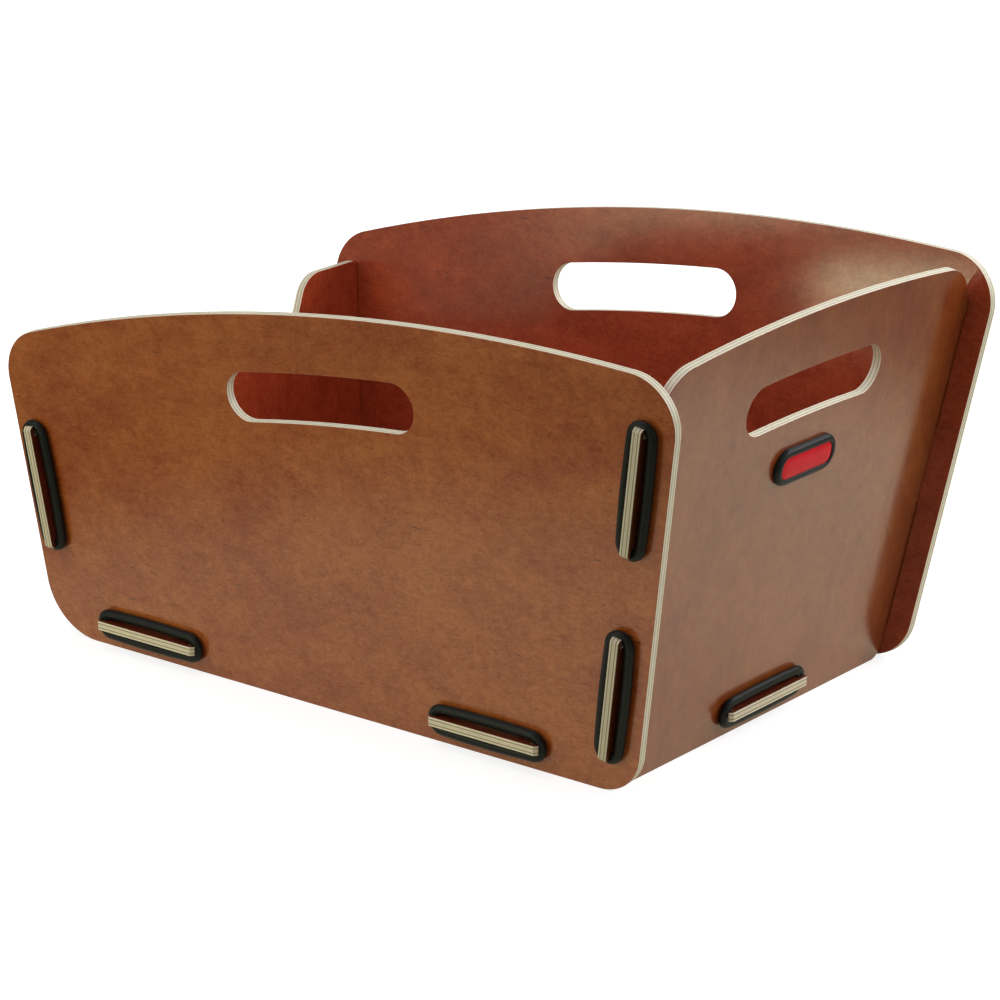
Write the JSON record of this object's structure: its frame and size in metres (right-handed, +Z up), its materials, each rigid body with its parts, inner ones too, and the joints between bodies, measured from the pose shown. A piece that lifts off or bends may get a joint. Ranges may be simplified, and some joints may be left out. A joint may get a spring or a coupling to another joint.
{
  "type": "bicycle crate",
  "caption": "Open carrier crate of slotted, flared plywood boards with arched hand slots, locked at the tabs by stretched rubber rings, the low end cut down between fins",
  "frame": {"origin": "on the ground, under the middle of the crate's overall length and width", "axes": "+X points to the end that carries the badge, +Y runs from the front long panel to the back one, +Z is up"},
  "size_m": [0.4286, 0.2934, 0.2219],
  "materials": {
    "veneer": "varnished reddish-brown plywood with bare pale edges",
    "rubber": "smooth black rubber, soft sheen",
    "badge_black": "semi-gloss black",
    "badge_red": "glossy red, bare of text"
  },
  "bodies": {
    "root": {"front_panel": "veneer", "back_panel": "veneer", "badge_end_panel": "veneer", "low_end_panel": "veneer", "floor_panel": "veneer", "ring_front_low_end": "rubber", "ring_front_badge_end_upper": "rubber", "ring_front_badge_end_lower": "rubber", "ring_front_floor_low_end": "rubber", "ring_front_floor_badge_end": "rubber", "ring_back_low_end": "rubber", "ring_back_badge_end_upper": "rubber", "ring_back_badge_end_lower": "rubber", "ring_back_floor_low_end": "rubber", "ring_back_floor_badge_end": "rubber", "ring_badge_end_floor": "rubber", "ring_low_end_floor": "rubber", "badge_bezel": "badge_black", "badge_insert": "badge_red"}
  },
  "joints": []
}
